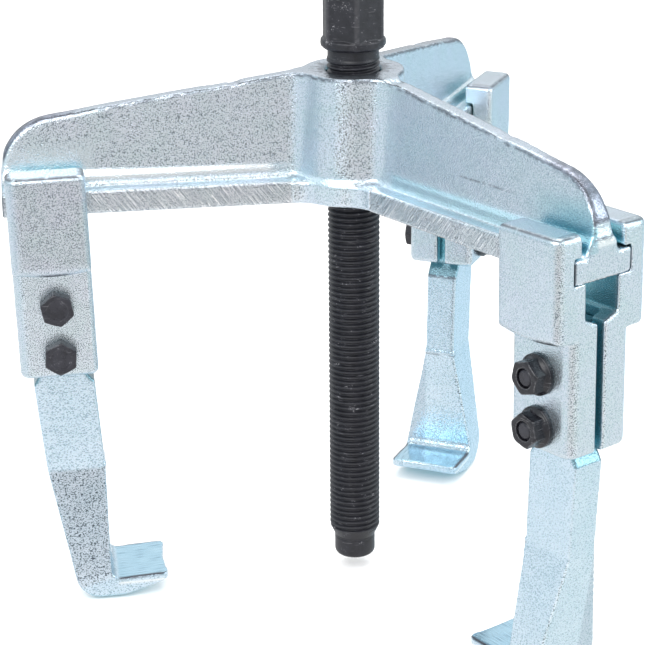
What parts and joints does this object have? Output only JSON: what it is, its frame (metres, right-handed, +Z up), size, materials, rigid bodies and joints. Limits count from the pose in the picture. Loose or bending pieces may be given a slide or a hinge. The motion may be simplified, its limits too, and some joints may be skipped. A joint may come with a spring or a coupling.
{
  "type": "gear puller",
  "caption": "Three-arm screw puller with sliding hooked jaws on a forged T-rail crossbeam and a threaded spindle with a drive hexagon.",
  "frame": {"origin": "centre of the spindle point's end face, on the spindle's axis", "axes": "+Z up the spindle towards its drive hexagon; the left arm runs along -X, the others at 60 and 300 degrees from +X about +Z"},
  "size_m": [0.1514, 0.1744, 0.1692],
  "materials": {
    "forged_zinc_crossbeam": "bright blue-white zinc plating on a fine forged skin",
    "black_oxide_spindle": "black oxide, semi-gloss",
    "black_oxide_point": "black oxide, semi-gloss",
    "forged_zinc_slide": "bright blue-white zinc plating on a fine forged skin",
    "forged_zinc_hook": "bright blue-white zinc plating on a fine forged skin",
    "black_bolt": "black oxide, semi-gloss",
    "black_nut": "black oxide, semi-gloss"
  },
  "bodies": {
    "crossbeam": {"crossbeam": "forged_zinc_crossbeam"},
    "spindle_point": {"spindle_point": "black_oxide_point"},
    "spindle": {"spindle": "black_oxide_spindle"},
    "rear_jaw": {"rear_slide_half_bolt_side": "forged_zinc_slide", "rear_slide_half_nut_side": "forged_zinc_slide", "rear_hook": "forged_zinc_hook", "rear_upper_bolt": "black_bolt", "rear_upper_nut": "black_nut", "rear_lower_bolt": "black_bolt", "rear_lower_nut": "black_nut"},
    "left_jaw": {"left_slide_half_bolt_side": "forged_zinc_slide", "left_slide_half_nut_side": "forged_zinc_slide", "left_hook": "forged_zinc_hook", "left_upper_bolt": "black_bolt", "left_upper_nut": "black_nut", "left_lower_bolt": "black_bolt", "left_lower_nut": "black_nut"},
    "front_jaw": {"front_slide_half_bolt_side": "forged_zinc_slide", "front_slide_half_nut_side": "forged_zinc_slide", "front_hook": "forged_zinc_hook", "front_upper_bolt": "black_bolt", "front_upper_nut": "black_nut", "front_lower_bolt": "black_bolt", "front_lower_nut": "black_nut"}
  },
  "joints": [
    {"name": "rear_jaw_slide", "type": "slide", "parent": "crossbeam", "child": "rear_jaw", "axis": [0.5, 0.866, 0], "range_m": [-0.047, 0.001]},
    {"name": "left_jaw_slide", "type": "slide", "parent": "crossbeam", "child": "left_jaw", "axis": [-1, 0, 0], "range_m": [-0.0445, 0.0035]},
    {"name": "front_jaw_slide", "type": "slide", "parent": "crossbeam", "child": "front_jaw", "axis": [0.5, -0.866, 0], "range_m": [-0.0456, 0.0024]},
    {"name": "spindle_travel", "type": "slide", "parent": "crossbeam", "child": "spindle_point", "axis": [0, 0, 1], "range_m": [-0.004, 0.09]},
    {"name": "spindle_turn", "type": "hinge", "parent": "spindle_point", "child": "spindle", "pos_m": [0, 0, 0], "axis": [0, 0, 1], "range_deg": [-961, 21601]}
  ],
  "couplings": [
    {"joint": "spindle_turn", "follows": "spindle_travel", "rad_per_m": 4188.8}
  ]
}
